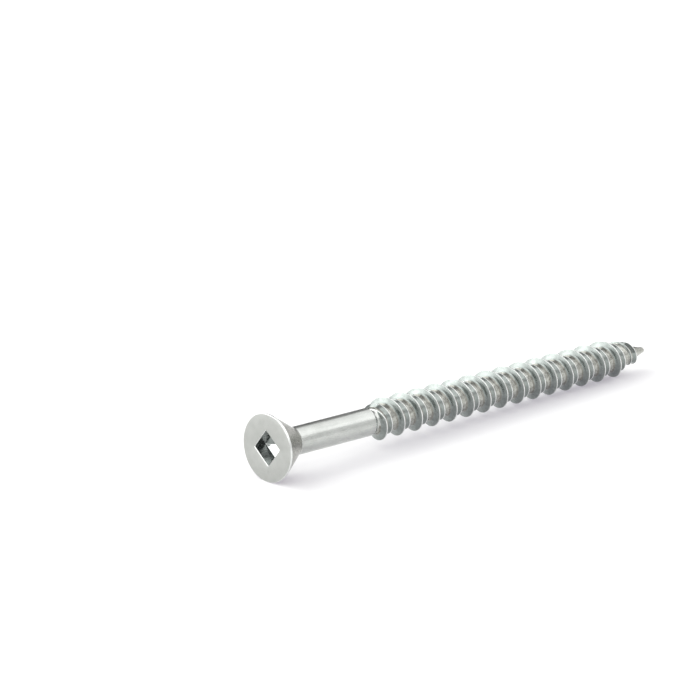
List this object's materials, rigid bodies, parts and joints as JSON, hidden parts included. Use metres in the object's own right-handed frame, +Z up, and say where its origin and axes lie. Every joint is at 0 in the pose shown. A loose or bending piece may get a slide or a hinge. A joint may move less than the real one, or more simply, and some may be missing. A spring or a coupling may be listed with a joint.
{
  "type": "flat head wood screw",
  "caption": "Flat head wood screw with a square drive recess, a smooth shank under the head and a coarse high-low thread that ends in a sharp point.",
  "frame": {"origin": "on the surface that the screw lies on, under the middle of its bounding box", "axes": "+X from the head toward the point, as seen from above; +Z up; the screw lies on its side, with its axis 1.62 degrees below +X"},
  "size_m": [0.0636, 0.008, 0.008],
  "materials": {
    "zinc_plated_steel": "bright zinc plate"
  },
  "bodies": {
    "root": {"screw": "zinc_plated_steel"}
  },
  "joints": []
}
